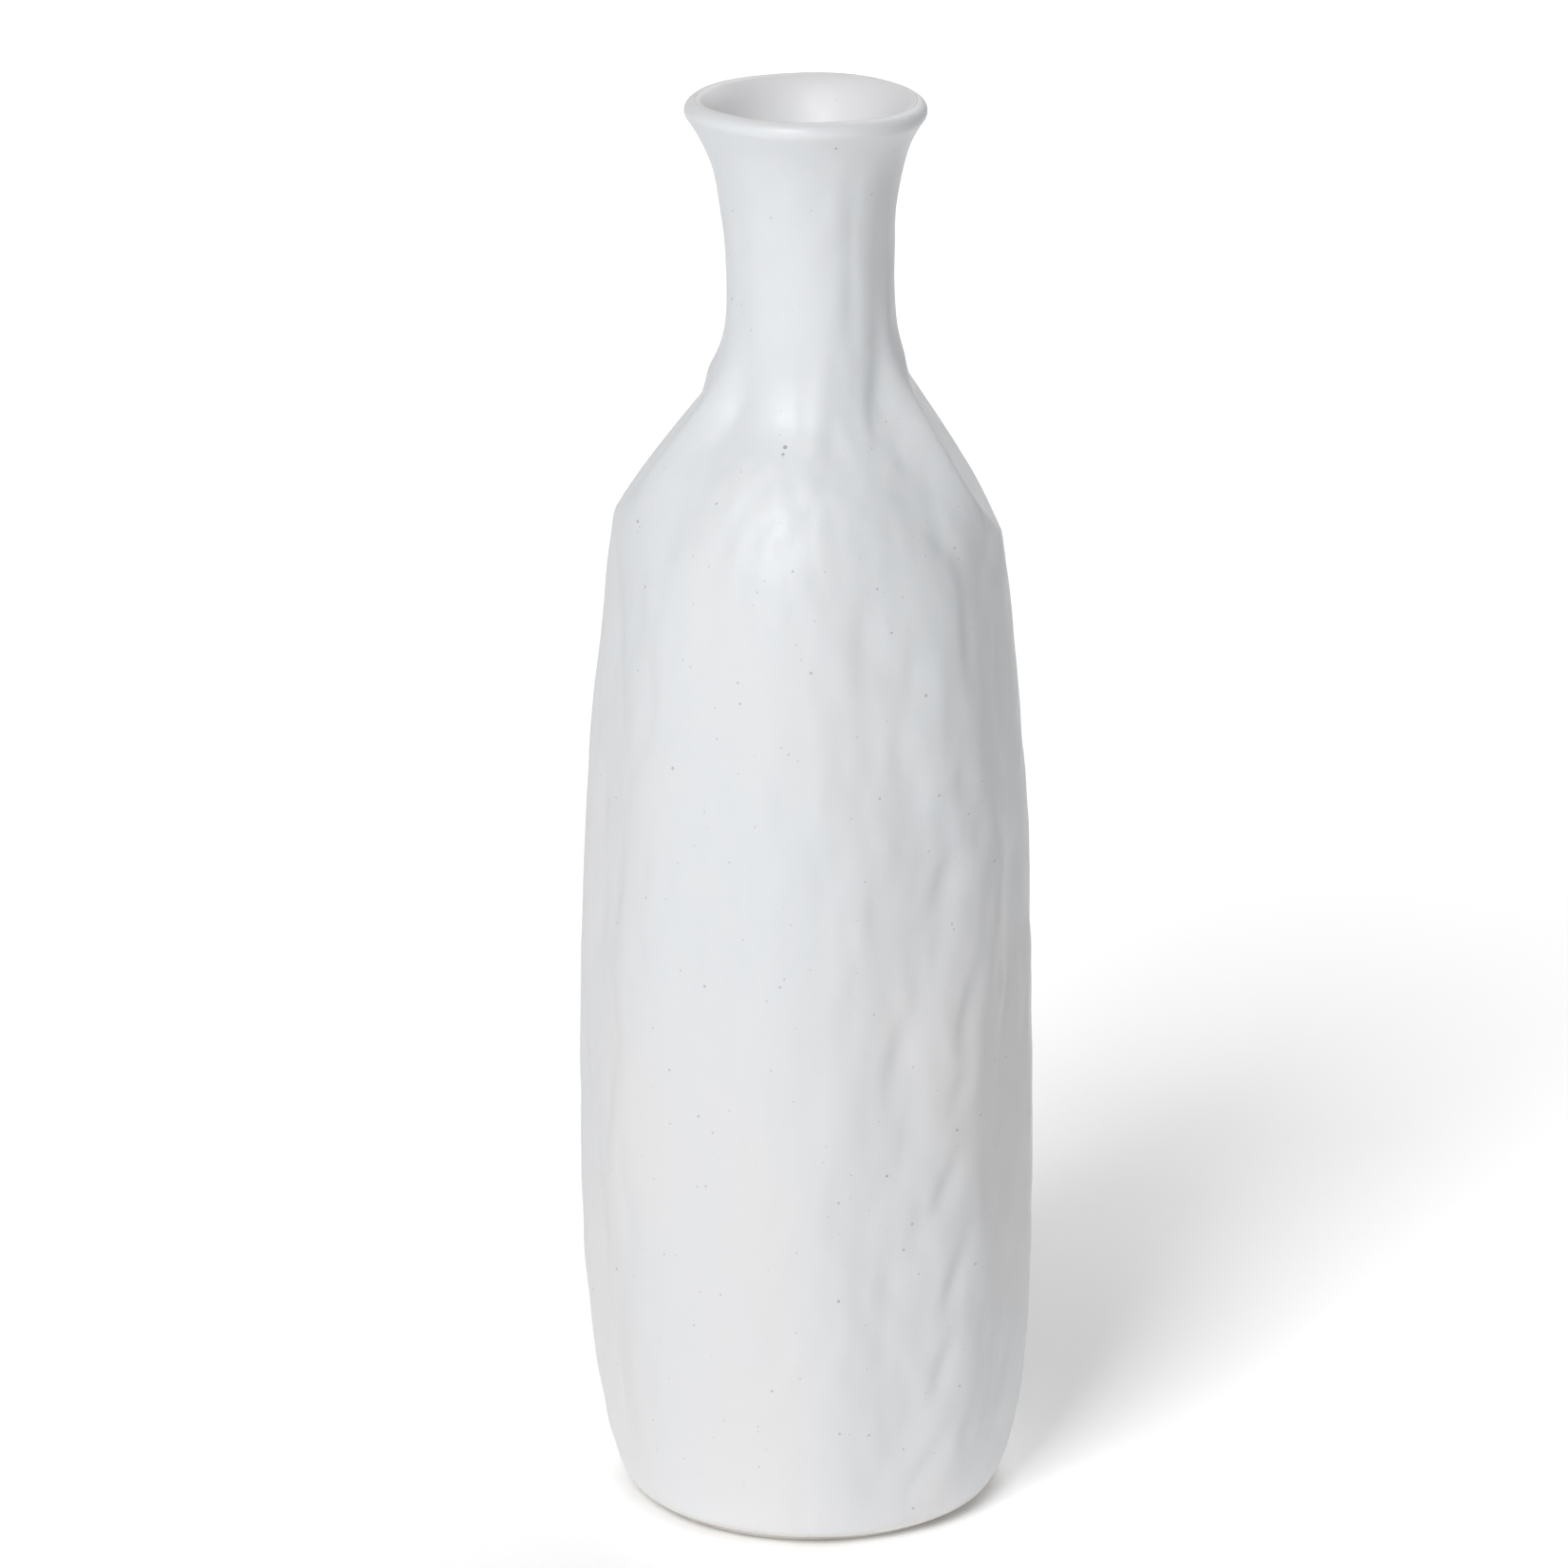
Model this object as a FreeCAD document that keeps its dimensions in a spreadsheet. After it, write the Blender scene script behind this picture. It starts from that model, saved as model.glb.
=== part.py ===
"""Hand-thrown stoneware bud vase with paddled sides and a flared, rolled lip.

Millimetres, +Z up, front towards -Y. The origin is the centre of the resting foot.
The clay is one thrown piece. Its outside and its inside each carry their own coat of glaze,
and the two coats meet along the crest of the lip.
"""
import FreeCAD, Part
import os
import Sketcher
from FreeCAD import Placement, Rotation, Vector

# Every size that can be set by itself, in millimetres unless its comment says otherwise.
SIZES = {
    # heights of the clay
    "height": 246.4,  # foot to the top of the clay lip
    "neck_length": 42.5,  # top of the lip down to the throat
    "shoulder_rise": 30.6,  # shoulder corner up to the throat
    "heel_height": 1.2,
    "swell_height": 20.0,
    "belly_height": 80.0,
    "chest_drop": 36.0,  # shoulder corner down to the chest
    "slope_rise": 11.0,  # shoulder corner up to the turn of the slope
    "collar_drop": 10.0,  # throat down to the collar
    "neck_rise": 15.0,  # throat up to the middle of the neck
    "flare_rise": 31.0,  # throat up to the start of the flare
    # radii of the clay, outside
    "belly_radius": 39.2,
    "swell_inset": 0.8,
    "chest_inset": 1.9,
    "shoulder_inset": 6.7,
    "foot_inset": 10.1,
    "heel_flare": 4.7,
    "slope_inset": 2.0,
    "neck_radius": 13.25,
    "throat_flare": 0.5,
    "collar_flare": 7.5,
    "flare_out": 1.55,
    # rolled lip
    "lip_radius": 19.9,
    "lip_roll": 1.4,  # radius of the rolled edge
    "lip_run": 2.8,  # straight run on each side of the roll
    # walls and floor
    "wall": 4.6,
    "neck_wall": 3.8,
    "shoulder_wall": 8.0,  # measured level through the sloping shoulder
    "floor_thickness": 8.5,  # up from the resting plane
    "floor_corner": 2.0,  # how far the inside corner stands in from the wall
    "floor_round": 9.0,  # how far the rounding of that corner reaches
    # trimmed foot
    "foot_ring": 6.0,
    "foot_recess": 1.5,
    # paddled flats and shoulder facets
    "flat_count": 8,
    "flat_depth": 1.2,
    "flat_turn": 22.5,  # degrees from a ridge to the middle of a flat
    "facet_count": 2,
    "facet_start": 4.0,  # shoulder corner down to the lower end of the blade
    "facet_overhang": 2.4,  # how far the blade's lower end stands outside the shoulder corner
    "facet_stop": 3.6,  # throat down to the notch at the top of a facet
    "facet_notch": 2.9,  # how far that notch stands outside the neck
    "blade_clearance": 1.0,  # how far a cutter stands off the clay where it must not cut
    "blade_reach": 20.0,  # how far a cutter reaches outside the belly
    # glaze
    "glaze": 0.4,
    "bare_foot": 2.0,  # height of clay left bare above the resting plane
}

# The roll of the lip meets its straight runs where a 3-4-5 triangle puts them.
SHORT = "0.6"
LONG = "0.8"

SHOULDER_HEIGHT = "(Sizes.height - Sizes.neck_length - Sizes.shoulder_rise)"
THROAT_HEIGHT = "(Sizes.height - Sizes.neck_length)"
CHEST_HEIGHT = f"({SHOULDER_HEIGHT} - Sizes.chest_drop)"
SLOPE_HEIGHT = f"({SHOULDER_HEIGHT} + Sizes.slope_rise)"
COLLAR_HEIGHT = f"({THROAT_HEIGHT} - Sizes.collar_drop)"
NECK_HEIGHT = f"({THROAT_HEIGHT} + Sizes.neck_rise)"
FLARE_HEIGHT = f"({THROAT_HEIGHT} + Sizes.flare_rise)"
FOOT_RADIUS = "(Sizes.belly_radius - Sizes.foot_inset)"
SHOULDER_RADIUS = "(Sizes.belly_radius - Sizes.shoulder_inset)"
LIP_CENTRE = ("(Sizes.lip_radius - Sizes.lip_roll)", "(Sizes.height - Sizes.lip_roll)")
BLADE_EDGE = "(Sizes.belly_radius + Sizes.blade_reach)"


def make_sheet(doc):
    """Spreadsheet that holds every driving size under its own name."""
    sheet = doc.addObject("Spreadsheet::Sheet", "Sizes")
    for row, (name, value) in enumerate(SIZES.items(), start=1):
        sheet.set(f"A{row}", name)
        sheet.set(f"B{row}", str(value))
        sheet.setAlias(f"B{row}", name)
    doc.recompute()


class Outline:
    """Closed sketch of a section: radius across, height up, with every point bound to the sheet."""

    def __init__(self, doc, body, name, turn=None):
        self.sheet = doc.Sizes
        self.sketch = body.newObject("Sketcher::SketchObject", name)
        plane = next(item for item in body.Origin.OriginFeatures if item.Role == "XZ_Plane")
        self.sketch.AttachmentSupport = (plane, "")
        self.sketch.MapMode = "FlatFace"
        if turn:
            self.sketch.AttachmentOffset = Placement(Vector(), Rotation(Vector(0, 1, 0), self.value(turn)))
            self.sketch.setExpression("AttachmentOffset.Rotation.Angle", turn)
        self.first = None
        self.last = None

    def value(self, expression):
        """Number that an expression gives now, used to draw near the final shape."""
        return float(self.sheet.evalExpression(expression))

    def spot(self, point):
        """Sketch position of a pair of expressions."""
        return Vector(self.value(point[0]), self.value(point[1]), 0)

    def tie(self, kind, *items):
        """Adds one constraint and gives its number."""
        return self.sketch.addConstraint(Sketcher.Constraint(kind, *items))

    def place(self, edge, corner, point):
        """Binds the radius and the height of one point."""
        for kind, axis, expression in zip(("DistanceX", "DistanceY"), (-2, -1), point):
            if expression == "0":
                self.tie("PointOnObject", edge, corner, axis)
            else:
                number = self.tie(kind, -1, 1, edge, corner, self.value(expression))
                self.sketch.setExpression(f"Constraints[{number}]", expression)

    def join(self, edge):
        """Ties the start of a new edge to the end of the one before."""
        if self.last is None:
            self.first = edge
        else:
            self.tie("Coincident", self.last, 2, edge, 1)
        self.last = edge

    def line(self, start, end):
        """Straight edge. Its start follows the edge before, and the first start follows the last edge."""
        edge = self.sketch.addGeometry(Part.LineSegment(self.spot(start), self.spot(end)))
        self.join(edge)
        self.place(edge, 2, end)

    def curve(self, *points):
        """Smooth edge drawn from its control points, after an edge that ends at the first of them."""
        inner = len(points) - 4
        knots = [number / (inner + 1) for number in range(inner + 2)]
        spline = Part.BSplineCurve()
        spline.buildFromPolesMultsKnots(
            [self.spot(point) for point in points], [4] + [1] * inner + [4], knots, False, 3
        )
        edge = self.sketch.addGeometry(spline)
        self.sketch.exposeInternalGeometry(edge)
        for number, point in enumerate(points[1:], start=2):
            self.place(edge + number, 3, point)
        self.join(edge)

    def roll(self, centre, start, end):
        """Round edge, anticlockwise about its centre."""
        middle = self.spot(centre)
        begin = self.spot(start)
        circle = Part.Circle(middle, Vector(0, 0, 1), middle.distanceToPoint(begin))
        angles = [circle.parameter(spot) for spot in (begin, self.spot(end))]
        edge = self.sketch.addGeometry(Part.ArcOfCircle(circle, *angles))
        self.join(edge)
        self.place(edge, 3, centre)
        number = self.tie("DistanceX", -1, 1, edge, 2, self.value(end[0]))
        self.sketch.setExpression(f"Constraints[{number}]", end[0])

    def close(self):
        """Ties the last edge back to the first and gives the finished sketch."""
        self.tie("Coincident", self.last, 2, self.first, 1)
        return self.sketch


def side_line(coat, cut="0", foot_clearance="0"):
    """Control points of the side, foot to shoulder corner, cut back above the heel and clear of the foot."""
    grown = f"+ {coat} - {cut}"
    foot = f"{FOOT_RADIUS} + {coat} + {foot_clearance}"
    return [
        (foot, "0"),
        (f"{foot} + Sizes.heel_flare", "Sizes.heel_height"),
        (f"Sizes.belly_radius - Sizes.swell_inset {grown}", "Sizes.swell_height"),
        (f"Sizes.belly_radius {grown}", "Sizes.belly_height"),
        (f"Sizes.belly_radius - Sizes.chest_inset {grown}", CHEST_HEIGHT),
        (f"{SHOULDER_RADIUS} {grown}", SHOULDER_HEIGHT),
    ]


def neck_line(coat, cut="0"):
    """Control points from the turn of the slope up to the start of the flare, the slope cut back."""
    slope = f"+ {coat} - {cut}"
    neck = f"Sizes.neck_radius + {coat}"
    return [
        (f"{SHOULDER_RADIUS} - Sizes.slope_inset {slope}", SLOPE_HEIGHT),
        (f"Sizes.neck_radius + Sizes.collar_flare {slope}", COLLAR_HEIGHT),
        (f"{neck} + Sizes.throat_flare", THROAT_HEIGHT),
        (neck, NECK_HEIGHT),
        (f"{neck} + Sizes.flare_out", FLARE_HEIGHT),
    ]


def lip_outside(coat, run="0"):
    """Point where the roll meets the flare, or further down the straight run below it."""
    return (
        f"{LIP_CENTRE[0]} + {LONG} * (Sizes.lip_roll + {coat}) - {SHORT} * {run}",
        f"{LIP_CENTRE[1]} - {SHORT} * (Sizes.lip_roll + {coat}) - {LONG} * {run}",
    )


def lip_inside(coat, run="0"):
    """Point where the roll meets the mouth, or further down the straight run inside it."""
    return (
        f"{LIP_CENTRE[0]} - {SHORT} * (Sizes.lip_roll + {coat}) - {LONG} * {run}",
        f"{LIP_CENTRE[1]} + {LONG} * (Sizes.lip_roll + {coat}) - {SHORT} * {run}",
    )


def cavity_line(coat):
    """Control points of the inside, from the mouth down to the middle of the floor."""
    neck = f"Sizes.neck_radius - Sizes.neck_wall - ({coat})"
    slope = f"- Sizes.shoulder_wall - ({coat})"
    side = f"- Sizes.wall - ({coat})"
    corner = f"Sizes.belly_radius - Sizes.swell_inset - Sizes.floor_corner {side}"
    floor = f"Sizes.floor_thickness + ({coat})"
    return [
        lip_inside(coat, "Sizes.lip_run"),
        (f"{neck} + Sizes.flare_out", FLARE_HEIGHT),
        (neck, NECK_HEIGHT),
        (f"{neck} + Sizes.throat_flare", THROAT_HEIGHT),
        (f"Sizes.neck_radius + Sizes.collar_flare {slope}", COLLAR_HEIGHT),
        (f"{SHOULDER_RADIUS} - Sizes.slope_inset {slope}", SLOPE_HEIGHT),
        (f"{SHOULDER_RADIUS} {side}", SHOULDER_HEIGHT),
        (f"Sizes.belly_radius - Sizes.chest_inset {side}", CHEST_HEIGHT),
        (f"Sizes.belly_radius {side}", "Sizes.belly_height"),
        (f"Sizes.belly_radius - Sizes.swell_inset {side}", "Sizes.swell_height"),
        (corner, floor),
        (f"{corner} - Sizes.floor_round", floor),
        ("0", floor),
    ]


def vessel_section(doc, body, coat):
    """Half section of the whole vessel: foot, side, neck, rolled lip and inside."""
    outline = Outline(doc, body, "section")
    ring = f"{FOOT_RADIUS} - Sizes.foot_ring"
    outline.line(("0", f"Sizes.floor_thickness + {coat}"), ("0", "Sizes.foot_recess"))
    outline.line(("0", "Sizes.foot_recess"), (f"{ring} - Sizes.foot_recess", "Sizes.foot_recess"))
    outline.line((f"{ring} - Sizes.foot_recess", "Sizes.foot_recess"), (ring, "0"))
    outline.line((ring, "0"), (f"{FOOT_RADIUS} + {coat}", "0"))
    side = side_line(coat)
    outline.curve(*side)
    outline.curve(side[-1], *neck_line(coat), lip_outside(coat, "Sizes.lip_run"), lip_outside(coat))
    outline.roll(LIP_CENTRE, lip_outside(coat), lip_inside(coat))
    outline.curve(lip_inside(coat), *cavity_line(coat))
    return outline.close()


def flat_section(doc, body, coat):
    """Section of the blade that paddles one flat, clear of the foot and over the shoulder corner."""
    outline = Outline(doc, body, "flat", "Sizes.flat_turn")
    side = side_line(coat, "Sizes.flat_depth", "Sizes.blade_clearance")
    top = neck_line(coat, "Sizes.flat_depth")[0]
    outline.line((BLADE_EDGE, "0"), side[0])
    outline.curve(*side)
    outline.line(side[-1], top)
    outline.line(top, (BLADE_EDGE, top[1]))
    outline.line((BLADE_EDGE, top[1]), (BLADE_EDGE, "0"))
    return outline.close()


def facet_section(doc, body, coat):
    """Section of the blade that slices a flat shoulder facet, from under the corner up to a notch."""
    outline = Outline(doc, body, "facet")
    low = f"{SHOULDER_HEIGHT} - Sizes.facet_start"
    start = (f"{SHOULDER_RADIUS} + Sizes.facet_overhang + {coat}", low)
    notch = (f"Sizes.neck_radius + Sizes.facet_notch + {coat}", f"{THROAT_HEIGHT} - Sizes.facet_stop")
    top = (f"{notch[0]} + Sizes.blade_clearance", f"{THROAT_HEIGHT} + Sizes.facet_stop")
    outline.line((BLADE_EDGE, low), start)
    outline.line(start, notch)
    outline.line(notch, top)
    outline.line(top, (BLADE_EDGE, top[1]))
    outline.line((BLADE_EDGE, top[1]), (BLADE_EDGE, low))
    return outline.close()


def turned(body, section):
    """Solid of revolution of a section about its height."""
    form = body.newObject("PartDesign::Revolution", "thrown")
    form.Profile = (section, [""])
    form.ReferenceAxis = (section, ["V_Axis"])
    form.Angle = 360
    return form


def carved(doc, body, section, count):
    """Cuts with a straight blade of the given section, repeated evenly round the vessel."""
    before = body.Shape.Volume
    cut = body.newObject("PartDesign::Pocket", f"{section.Name}_cut")
    cut.Profile = (section, [""])
    cut.Midplane = True
    cut.setExpression("Length", f"2 * {BLADE_EDGE}")
    doc.recompute()
    ring = body.newObject("PartDesign::PolarPattern", f"{section.Name}_ring")
    ring.Originals = [cut]
    ring.Axis = (section, ["V_Axis"])
    ring.Angle = 360
    ring.setExpression("Occurrences", count)
    body.Tip = ring
    doc.recompute()
    if body.Shape.Volume >= before:
        raise RuntimeError(f"{section.Label} cut nothing")


def vessel(doc, name, coat="0"):
    """The whole vessel as one body, grown all over by a coat."""
    body = doc.addObject("PartDesign::Body", name)
    body.Label = name
    turned(body, vessel_section(doc, body, coat))
    doc.recompute()
    carved(doc, body, flat_section(doc, body, coat), "Sizes.flat_count")
    carved(doc, body, facet_section(doc, body, coat), "Sizes.facet_count")
    return body


def inner_half(doc):
    """Plug that ends in the middle of the lip and runs inside the clay wall: it parts the two coats."""
    body = doc.addObject("PartDesign::Body", "inner_half")
    outline = Outline(doc, body, "plug")
    coat = "-Sizes.lip_roll"
    above = "Sizes.height + Sizes.blade_clearance"
    outline.line(("0", f"Sizes.floor_thickness + ({coat})"), ("0", above))
    outline.line(("0", above), (LIP_CENTRE[0], above))
    outline.line((LIP_CENTRE[0], above), LIP_CENTRE)
    outline.curve(LIP_CENTRE, *cavity_line(coat))
    turned(body, outline.close())
    return body


def boolean(doc, kind, name, base, tool):
    """Solid made of two others: Cut takes the tool away, Common keeps what they share."""
    made = doc.addObject(f"Part::{kind}", name)
    made.Label = name
    made.Base = base
    made.Tool = tool
    return made


def foot_block(doc):
    """Cylinder that covers the height of the foot left bare of glaze."""
    block = doc.addObject("Part::Cylinder", "foot_block")
    block.setExpression("Radius", BLADE_EDGE)
    block.setExpression("Height", "Sizes.bare_foot")
    return block


def check(doc, parts):
    """Stops the build if any object failed or any sub-part is not one valid solid."""
    for item in doc.Objects:
        if "Invalid" in item.State or "Error" in item.State:
            raise RuntimeError(f"{item.Label} failed: {item.State}")
    for part in parts:
        shape = part.Shape
        if shape.isNull() or not shape.isValid() or len(shape.Solids) != 1:
            raise RuntimeError(f"{part.Label} is not one valid solid")
        box = shape.BoundBox
        sides = " x ".join(f"{side:.1f}" for side in (box.XLength, box.YLength, box.ZLength))
        print(f"{part.Label}: {shape.Volume:.0f} mm3, {sides} mm")


def main():
    """Builds the clay and its two coats, checks them and writes one file for each."""
    doc = FreeCAD.newDocument("bud_vase")
    make_sheet(doc)
    clay = vessel(doc, "stoneware_body")
    glazed = vessel(doc, "glazed_form", "Sizes.glaze")
    plug = inner_half(doc)
    skin = boolean(doc, "Cut", "skin", glazed, clay)
    outside = boolean(doc, "Cut", "outside", skin, plug)
    outer = boolean(doc, "Cut", "outer_glaze", outside, foot_block(doc))
    liner = boolean(doc, "Common", "liner_glaze", skin, plug)
    doc.recompute()
    parts = [clay, outer, liner]
    check(doc, parts)
    os.makedirs("parts", exist_ok=True)
    for part in parts:
        part.Shape.exportStep(os.path.join("parts", f"{part.Label}.step"))


main()
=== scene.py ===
"""Looks of a hand-worked white stoneware bud vase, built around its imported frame.

The scene is in metres with +Z up and the front towards -Y. The hand work is written down in
millimetres, and in degrees of azimuth: 0 at the front, 90 towards +X.
"""
import logging
import math
import random
from dataclasses import dataclass, field
from enum import Enum

import bmesh
import bpy
import numpy as np
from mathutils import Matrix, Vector, noise
from mathutils.bvhtree import BVHTree


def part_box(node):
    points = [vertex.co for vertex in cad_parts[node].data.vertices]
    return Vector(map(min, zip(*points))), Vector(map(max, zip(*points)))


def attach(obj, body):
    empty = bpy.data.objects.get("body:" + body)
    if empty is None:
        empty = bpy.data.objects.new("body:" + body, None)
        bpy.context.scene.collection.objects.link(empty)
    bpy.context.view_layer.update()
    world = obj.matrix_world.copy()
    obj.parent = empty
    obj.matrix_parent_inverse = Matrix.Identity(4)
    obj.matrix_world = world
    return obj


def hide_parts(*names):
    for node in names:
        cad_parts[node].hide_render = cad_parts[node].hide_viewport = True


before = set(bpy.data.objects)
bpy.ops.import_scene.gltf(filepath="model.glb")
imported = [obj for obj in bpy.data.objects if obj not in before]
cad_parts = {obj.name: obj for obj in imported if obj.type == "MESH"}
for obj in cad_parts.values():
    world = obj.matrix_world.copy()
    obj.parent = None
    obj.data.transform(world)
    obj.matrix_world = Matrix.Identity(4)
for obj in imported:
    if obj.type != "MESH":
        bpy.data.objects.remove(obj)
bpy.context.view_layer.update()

MM = 0.001
BODY = "root"
log = logging.getLogger("bud_vase")


class Slot(Enum):
    """Material slots of the record."""

    CLAY = "stoneware"
    OUTSIDE = "outer_glaze"
    INSIDE = "liner_glaze"


class Side(Enum):
    """The face of the wall that a sheet of points belongs to."""

    OUTSIDE = "outside"
    INSIDE = "inside"
    UNDERSIDE = "underside"


# ------------------------------------------------------------------ the section of the thrown form


@dataclass(frozen=True)
class Spot:
    """A place in the section, in metres: distance from the axis, and height."""

    radius: float
    height: float

    def moved(self, out: float, up: float = 0.0) -> "Spot":
        """The same spot moved outwards and upwards."""
        return Spot(self.radius + out, self.height + up)


def sweep(controls: list[Spot], count: int) -> list[Spot]:
    """Follows the clamped cubic curve that a row of control spots pulls into shape.

    Args:
        controls: At least four spots. The curve starts on the first and ends on the last.
        count: How many spots to return.

    Returns:
        Spots spaced evenly along the curve.
    """
    spans = len(controls) - 3
    knots = [0.0] * 3 + [step / spans for step in range(spans + 1)] + [1.0] * 3
    fine = 8 * count
    traced = []
    for number in range(fine + 1):
        place = number / fine
        first = min(int(place * spans), spans - 1)
        pull = [(spot.radius, spot.height) for spot in controls[first : first + 4]]
        for level in (1, 2, 3):
            for i in range(3, level - 1, -1):
                low, high = knots[first + i], knots[first + 4 + i - level]
                share = (place - low) / (high - low)
                pull[i] = tuple(a + (b - a) * share for a, b in zip(pull[i - 1], pull[i]))
        traced.append(pull[3])
    path = np.array(traced)
    run = np.concatenate([[0.0], np.cumsum(np.linalg.norm(np.diff(path, axis=0), axis=1))])
    stops = np.linspace(0.0, run[-1], count)
    return [Spot(*pair) for pair in zip(np.interp(stops, run, path[:, 0]), np.interp(stops, run, path[:, 1]))]


@dataclass(frozen=True)
class ThrownForm:
    """Section of the vessel as it leaves the wheel, over the glaze. The first six sizes come from the frame.

    Attributes:
        height: Resting plane to the crest of the lip.
        belly_radius: Widest radius.
        glaze: Thickness of a coat.
        bare_foot: Height of clay left bare above the resting plane.
        floor: Height of the glazed floor inside.
        cavity_radius: Widest radius inside, at the clay.
    """

    height: float
    belly_radius: float
    glaze: float
    bare_foot: float
    floor: float
    cavity_radius: float
    neck_length: float = 42.9 * MM
    shoulder_rise: float = 30.6 * MM
    foot_radius: float = 29.5 * MM
    heel_radius: float = 34.2 * MM
    shoulder_radius: float = 32.9 * MM
    neck_radius: float = 13.65 * MM
    bore_radius: float = 9.05 * MM
    lip_radius: float = 20.3 * MM
    lip_roll: float = 1.8 * MM
    lip_run: float = 2.8 * MM
    foot_ring: float = 6.0 * MM
    foot_recess: float = 1.5 * MM

    @classmethod
    def from_frame(cls) -> "ThrownForm":
        """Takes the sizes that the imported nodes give."""
        coat_low, coat_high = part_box("outer_glaze")
        clay_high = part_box("stoneware_body")[1]
        liner_low, liner_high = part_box("liner_glaze")
        return cls(
            height=coat_high.z,
            belly_radius=coat_high.x,
            glaze=coat_high.z - clay_high.z,
            bare_foot=coat_low.z,
            floor=liner_low.z,
            cavity_radius=liner_high.x,
        )

    @property
    def throat(self) -> float:
        """Height where the slope of the shoulder runs into the neck."""
        return self.height - self.neck_length

    @property
    def shoulder(self) -> float:
        """Height of the shoulder corner."""
        return self.throat - self.shoulder_rise

    def roll(self, first: float, last: float, count: int, inset: float = 0.0) -> list[Spot]:
        """Walks round the rolled lip.

        Args:
            first: Start angle in degrees: 0 points outwards, 90 up.
            last: End angle in degrees.
            count: How many spots.
            inset: How far inside the glaze.

        Returns:
            The spots, from first to last.
        """
        reach = self.lip_roll - inset
        centre = Spot(self.lip_radius - self.lip_roll, self.height - self.lip_roll)
        angles = np.radians(np.linspace(first, last, count))
        return [centre.moved(reach * math.cos(angle), reach * math.sin(angle)) for angle in angles]

    def outside(self, inset: float) -> list[Spot]:
        """The outside from the resting plane to the crest of the lip, so far inside the glaze."""
        corner = Spot(self.shoulder_radius, self.shoulder)
        lip = self.roll(LIP_UNDER, LIP_CREST, 14, inset)
        side = [
            Spot(self.foot_radius, 0.0),
            Spot(self.heel_radius, 1.3 * MM),
            Spot(self.belly_radius - 0.3 * MM, 20.0 * MM),
            Spot(self.belly_radius + 0.4 * MM, 80.0 * MM),
            Spot(self.belly_radius - 1.4 * MM, corner.height - 36.0 * MM),
            corner,
        ]
        neck = [
            corner,
            corner.moved(-2.0 * MM, 11.0 * MM),
            Spot(self.neck_radius + 7.5 * MM, self.throat - 10.0 * MM),
            Spot(self.neck_radius + 0.5 * MM, self.throat),
            Spot(self.neck_radius, self.throat + 15.0 * MM),
            Spot(self.neck_radius + 1.55 * MM, self.throat + 31.0 * MM),
            lip[0].moved(inset - 0.6 * self.lip_run, -0.8 * self.lip_run),
            lip[0].moved(inset),
        ]
        rows = sweep([spot.moved(-inset) for spot in side], 116)
        return rows[:-1] + sweep([spot.moved(-inset) for spot in neck], 70)[:-1] + lip

    def inside(self, outset: float) -> list[Spot]:
        """The inside from the crest of the lip to the middle of the floor, so far into the glaze."""
        lip = self.roll(LIP_CREST, LIP_INNER, 8, outset)
        bore, floor = self.bore_radius + outset, self.floor + self.glaze - outset
        wide, slope = self.cavity_radius + outset, self.shoulder_radius - 8.4 * MM + outset
        line = [
            lip[-1],
            lip[-1].moved(-0.8 * self.lip_run, -0.6 * self.lip_run),
            Spot(bore + 1.55 * MM, self.throat + 31.0 * MM),
            Spot(bore, self.throat + 15.0 * MM),
            Spot(bore + 0.5 * MM, self.throat),
            Spot(bore + 3.3 * MM, self.throat - 10.0 * MM),
            Spot(slope - 2.0 * MM, self.shoulder + 11.0 * MM),
            Spot(slope + 3.4 * MM, self.shoulder),
            Spot(wide - 1.7 * MM, self.shoulder - 36.0 * MM),
            Spot(wide, 80.0 * MM),
            Spot(wide - 0.7 * MM, 20.0 * MM),
            Spot(wide - 2.7 * MM, floor),
            Spot(wide - 11.7 * MM, floor),
            Spot(0.0, floor),
        ]
        return lip[:-1] + sweep(line, 150)

    def underside(self, inset: float) -> list[Spot]:
        """The trimmed foot from the middle of its grooved recess to its outer edge."""
        edge = self.foot_radius - inset
        ring = edge - self.foot_ring
        recess = [
            Spot(radius, self.foot_recess + 0.1 * MM * math.cos(radius / (0.45 * MM)))
            for radius in np.linspace(0.0, ring - 2.0 * MM, 40)
        ]
        return recess + [
            Spot(ring - 1.2 * MM, self.foot_recess - 0.15 * MM),
            Spot(ring - 0.6 * MM, 0.6 * MM),
            Spot(ring, 0.15 * MM),
            Spot(ring + 0.7 * MM, 0.0),
            Spot(0.5 * (ring + edge), 0.0),
            Spot(edge, 0.0),
        ]


LIP_UNDER, LIP_CREST, LIP_INNER = -36.9, 90.0, 126.9


# ------------------------------------------------------------------ hand work on the leather-hard clay


def ease(low: float, high: float, value: np.ndarray) -> np.ndarray:
    """Rises smoothly from 0 at low to 1 at high."""
    share = np.clip((value - low) / (high - low), 0.0, 1.0)
    return share * share * (3.0 - 2.0 * share)


def swell(centre: float, reach: float, value: np.ndarray) -> np.ndarray:
    """A round hump of 1 at the centre that is gone about two reaches away."""
    return np.exp(-(((value - centre) / reach) ** 2))


def softly_over(value: np.ndarray, softness: float) -> np.ndarray:
    """The part of a value above zero, with the corner at zero rounded off."""
    return softness * np.logaddexp(0.0, np.clip(value / softness, -40.0, 400.0))


def turn_from(azimuth: float, value: np.ndarray) -> np.ndarray:
    """Signed turn in degrees from one azimuth to others, from -180 to 180."""
    return (value - azimuth + 180.0) % 360.0 - 180.0


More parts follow.
